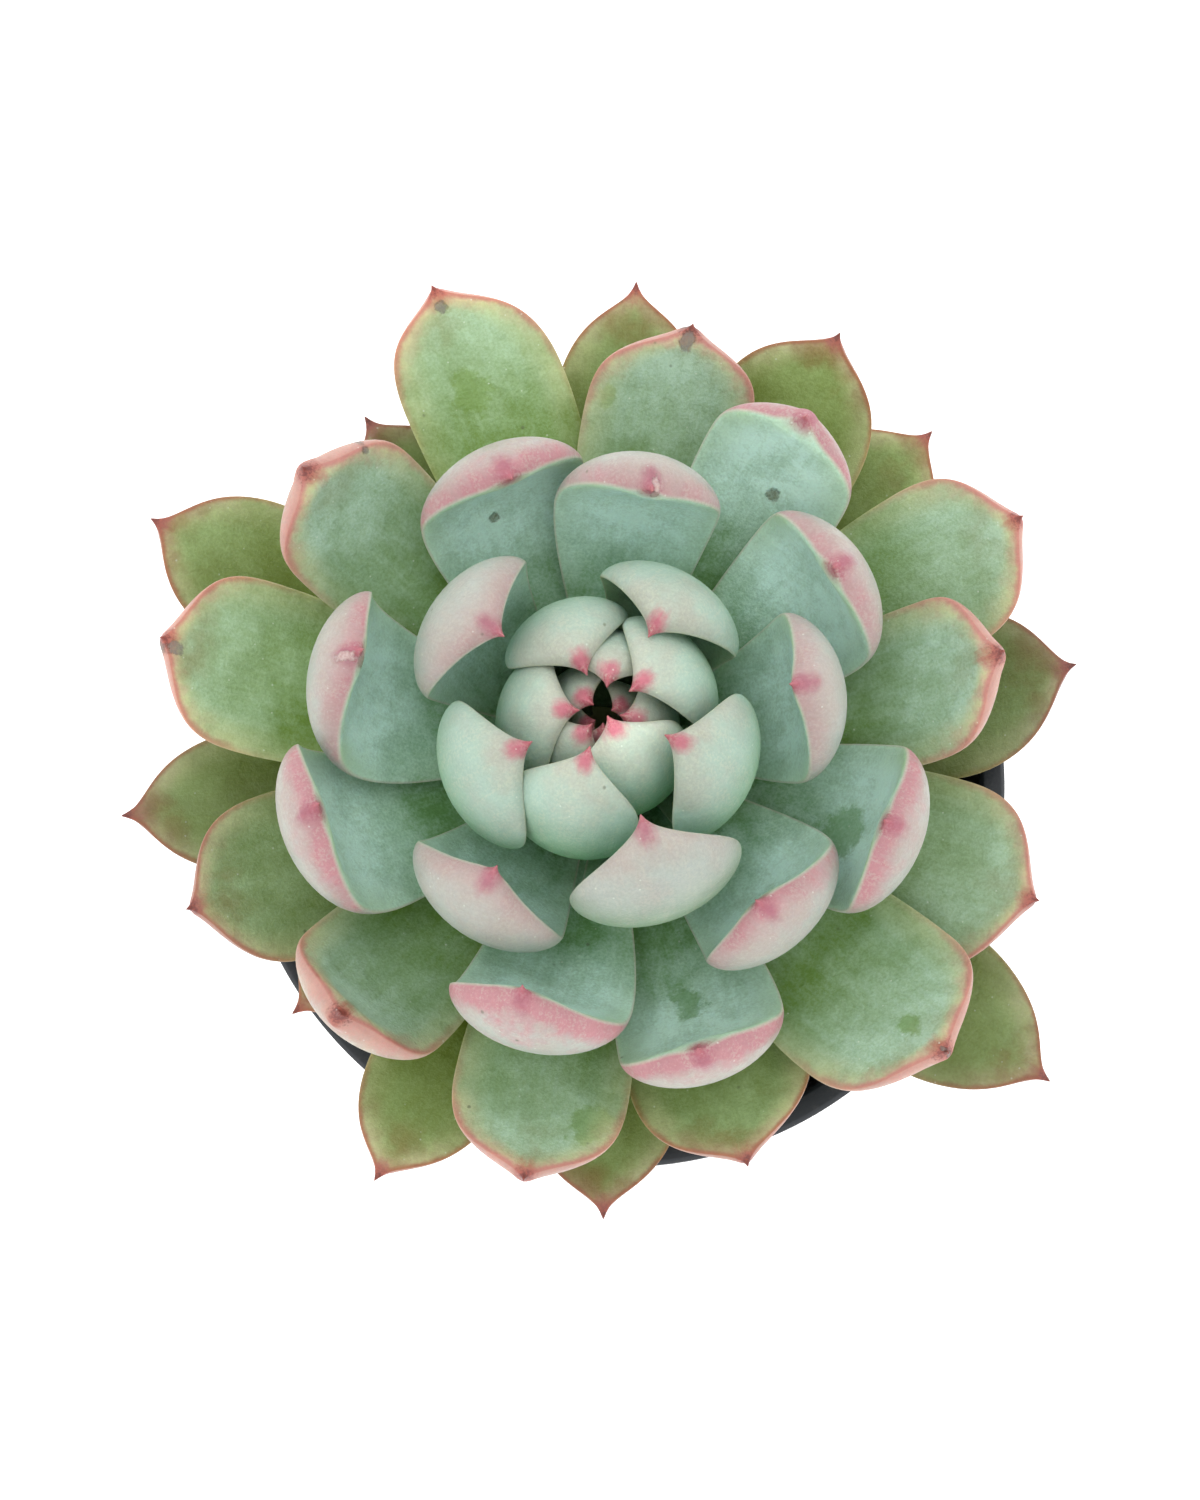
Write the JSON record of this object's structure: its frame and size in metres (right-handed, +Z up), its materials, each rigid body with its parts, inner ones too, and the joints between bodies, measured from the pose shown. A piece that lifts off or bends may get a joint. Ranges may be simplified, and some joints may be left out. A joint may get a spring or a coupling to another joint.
{
  "type": "potted echeveria",
  "caption": "Potted succulent: a flat rosette of thick waxy cupped leaves with pink margins on a short stem, in soil in a round stepped nursery pot.",
  "frame": {"origin": "the middle of the pot's flat underside, where it rests", "axes": "+Z up along the pot's axis; +Y away from somebody who looks down at the plant; +X to their right"},
  "size_m": [0.1278, 0.126, 0.1441],
  "materials": {
    "heart_leaf": "waxy grey-white bloom over pale blue-green, crimson point, satin-matt",
    "cupped_leaf": "waxy bloom over blue-green, pinkish white back at the tip, pink margin, satin-matt",
    "spread_leaf": "thinner bloom over yellow-green, pink to orange-brown margin, dark red-brown point, satin",
    "stem": "corky green-brown stem with leaf scars, matt",
    "soil": "dark, crumbly potting mix with a few pale grains, rough",
    "pot": "moulded black polypropylene, slightly blue-grey, semi-matt"
  },
  "bodies": {
    "root": {"pot": "pot", "soil": "soil", "stem": "stem", "heart_leaf_01": "heart_leaf", "heart_leaf_02": "heart_leaf", "heart_leaf_03": "heart_leaf", "heart_leaf_04": "heart_leaf", "heart_leaf_05": "heart_leaf", "heart_leaf_06": "heart_leaf", "heart_leaf_07": "heart_leaf", "heart_leaf_08": "heart_leaf", "heart_leaf_09": "heart_leaf", "heart_leaf_10": "heart_leaf", "heart_leaf_11": "heart_leaf", "heart_leaf_12": "heart_leaf", "heart_leaf_13": "heart_leaf", "heart_leaf_14": "heart_leaf", "heart_leaf_15": "heart_leaf", "cupped_leaf_16": "cupped_leaf", "cupped_leaf_17": "cupped_leaf", "cupped_leaf_18": "cupped_leaf", "cupped_leaf_19": "cupped_leaf", "cupped_leaf_20": "cupped_leaf", "cupped_leaf_21": "cupped_leaf", "cupped_leaf_22": "cupped_leaf", "cupped_leaf_23": "cupped_leaf", "cupped_leaf_24": "cupped_leaf", "cupped_leaf_25": "cupped_leaf", "cupped_leaf_26": "cupped_leaf", "cupped_leaf_27": "cupped_leaf", "cupped_leaf_28": "cupped_leaf", "cupped_leaf_29": "cupped_leaf", "spread_leaf_30": "spread_leaf", "spread_leaf_31": "spread_leaf", "spread_leaf_32": "spread_leaf", "spread_leaf_33": "spread_leaf", "spread_leaf_34": "spread_leaf", "spread_leaf_35": "spread_leaf", "spread_leaf_36": "spread_leaf", "spread_leaf_37": "spread_leaf", "spread_leaf_38": "spread_leaf", "spread_leaf_39": "spread_leaf", "spread_leaf_40": "spread_leaf", "spread_leaf_41": "spread_leaf", "spread_leaf_42": "spread_leaf", "spread_leaf_43": "spread_leaf", "spread_leaf_44": "spread_leaf", "spread_leaf_45": "spread_leaf", "spread_leaf_46": "spread_leaf", "spread_leaf_47": "spread_leaf", "spread_leaf_48": "spread_leaf", "spread_leaf_49": "spread_leaf", "spread_leaf_50": "spread_leaf", "spread_leaf_51": "spread_leaf", "spread_leaf_52": "spread_leaf"}
  },
  "joints": []
}
